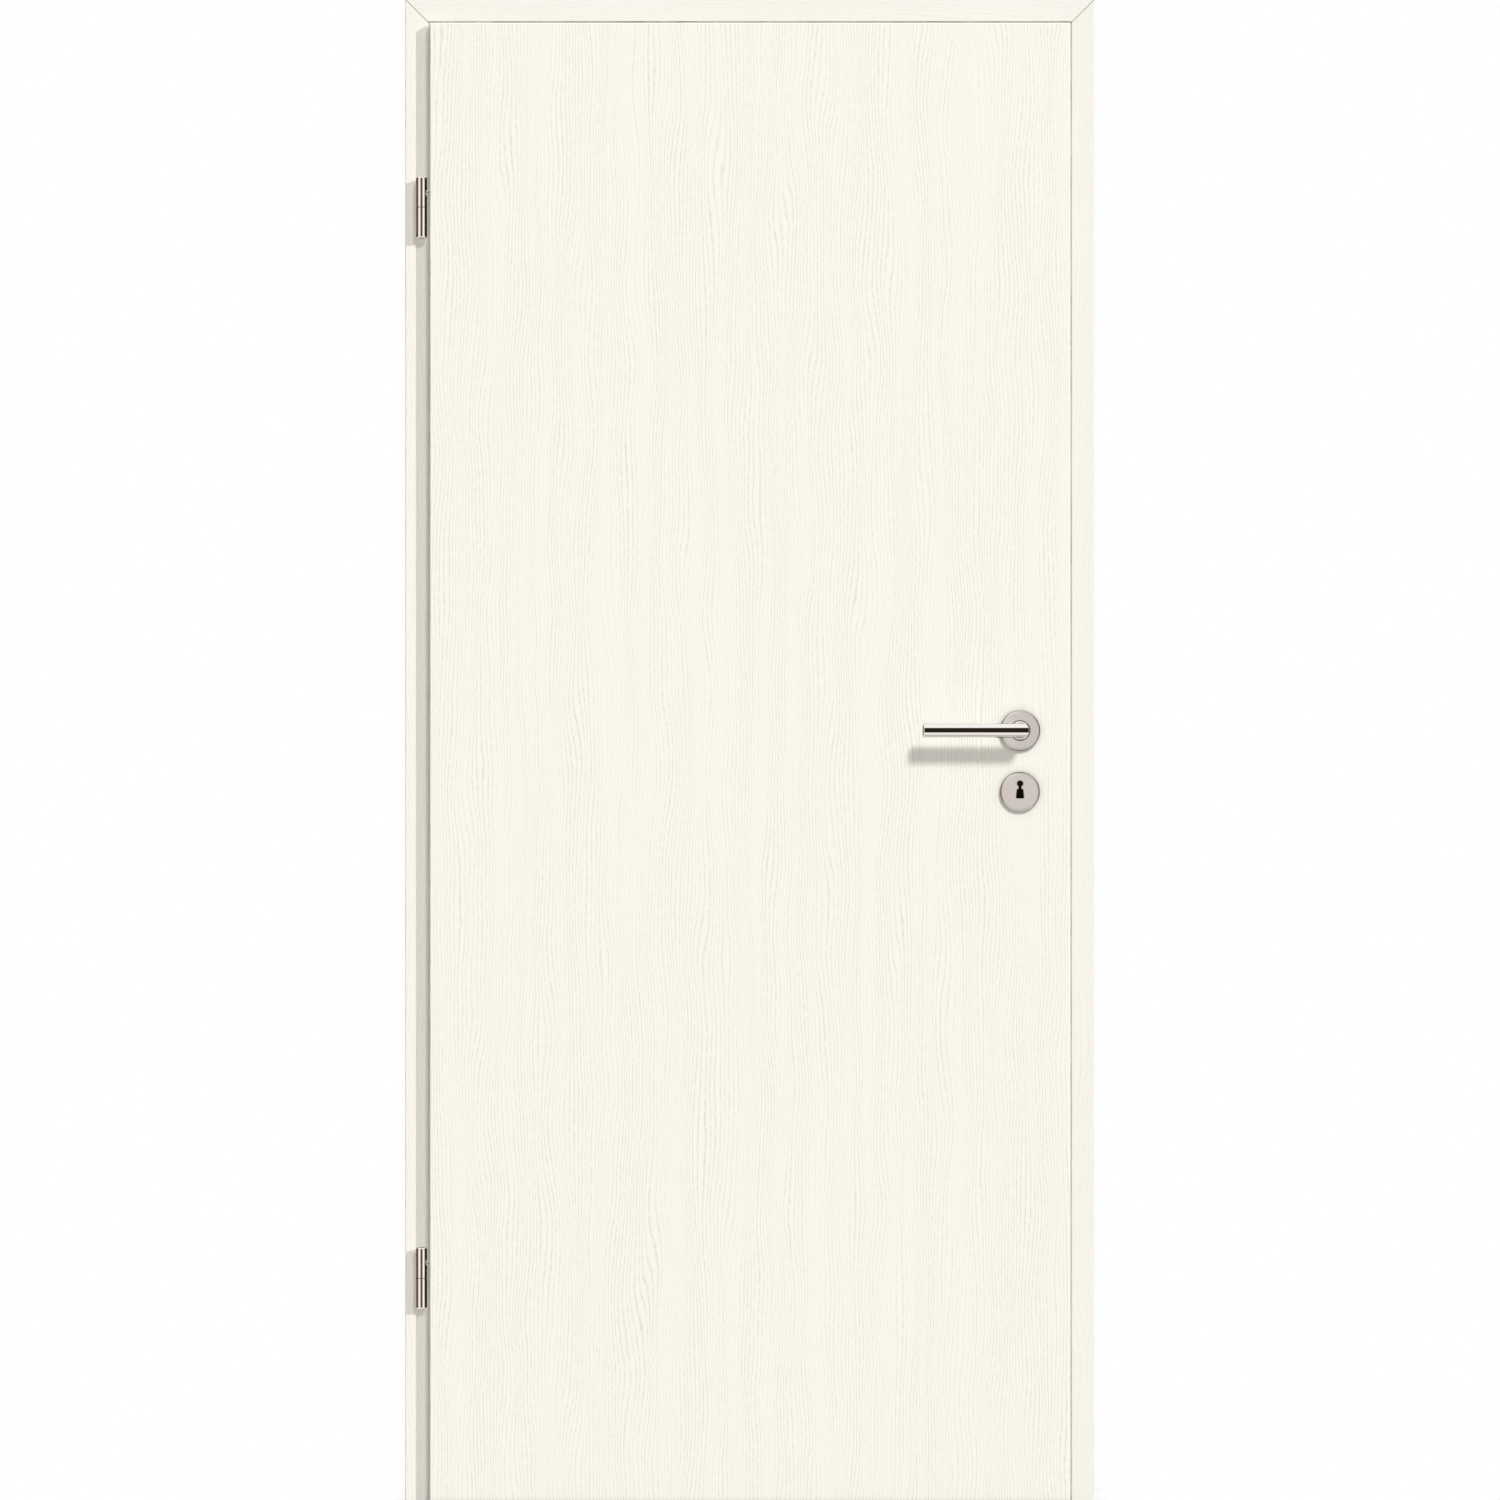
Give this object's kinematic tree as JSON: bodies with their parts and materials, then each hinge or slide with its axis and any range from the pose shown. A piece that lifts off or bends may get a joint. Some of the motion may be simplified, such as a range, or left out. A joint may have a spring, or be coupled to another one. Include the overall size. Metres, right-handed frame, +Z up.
{
  "type": "interior door with frame",
  "caption": "Rebated white wood-grain interior door leaf on two pin hinges in a lined, cased frame, with a round-bar lever on round plates and a keyed mortise lock.",
  "frame": {"origin": "on the outer face of the hinge-side jamb, at floor level, half way through the wall", "axes": "+Z up, +X from the hinge side to the lock side, -Y towards the side that the leaf opens to"},
  "size_m": [0.927, 0.252, 2.0235],
  "materials": {
    "leaf_laminate": "satin",
    "frame_laminate": "satin",
    "leaf_inner_wood": "matte",
    "seal_rubber": "matte",
    "polished_nickel": "polished",
    "polished_steel": "polished",
    "satin_steel": "satin",
    "plated_steel": "satin",
    "lock_steel": "satin",
    "dark_plastic": "matte"
  },
  "bodies": {
    "frame": {"hinge_jamb": "frame_laminate", "lock_jamb": "frame_laminate", "head_jamb": "frame_laminate", "front_architrave_hinge": "frame_laminate", "front_architrave_lock": "frame_laminate", "front_architrave_head": "frame_laminate", "back_architrave_hinge": "frame_laminate", "back_architrave_lock": "frame_laminate", "back_architrave_head": "frame_laminate", "seal_hinge": "seal_rubber", "seal_lock": "seal_rubber", "seal_head": "seal_rubber", "upper_hinge_bracket": "plated_steel", "lower_hinge_bracket": "plated_steel", "upper_frame_knuckle": "polished_nickel", "lower_frame_knuckle": "polished_nickel", "strike_plate": "plated_steel"},
    "leaf": {"leaf_front_skin": "leaf_laminate", "leaf_back_skin": "leaf_laminate", "leaf_hinge_stile": "leaf_laminate", "leaf_lock_stile": "leaf_laminate", "leaf_top_rail": "leaf_laminate", "leaf_bottom_rail": "leaf_inner_wood", "leaf_core": "leaf_inner_wood", "leaf_hinge_lip": "leaf_laminate", "leaf_lock_lip": "leaf_laminate", "leaf_top_lip": "leaf_laminate", "upper_leaf_knuckle": "polished_nickel", "lower_leaf_knuckle": "polished_nickel", "lock_case": "lock_steel", "lock_forend": "plated_steel", "latch_bolt": "plated_steel", "dead_bolt": "plated_steel", "front_lever_rosette": "satin_steel", "back_lever_rosette": "satin_steel", "front_guide_ring": "dark_plastic", "back_guide_ring": "dark_plastic", "front_key_rosette": "satin_steel", "back_key_rosette": "satin_steel"},
    "lever": {"front_lever": "polished_steel", "back_lever": "polished_steel", "lever_spindle": "lock_steel", "lock_follower": "lock_steel"}
  },
  "joints": [
    {"name": "leaf_swing", "type": "hinge", "parent": "frame", "child": "leaf", "pos_m": [-0.0105, -0.10025, 1.7425], "axis": [0, 0, -1], "range_deg": [0, 170]},
    {"name": "lever_turn", "type": "hinge", "parent": "leaf", "child": "lever", "pos_m": [0.7925, -0.0875, 1.04], "axis": [0, -1, 0], "range_deg": [0, 40], "stiffness_Nm_per_rad": 1.2, "springref_deg": -57.3}
  ]
}
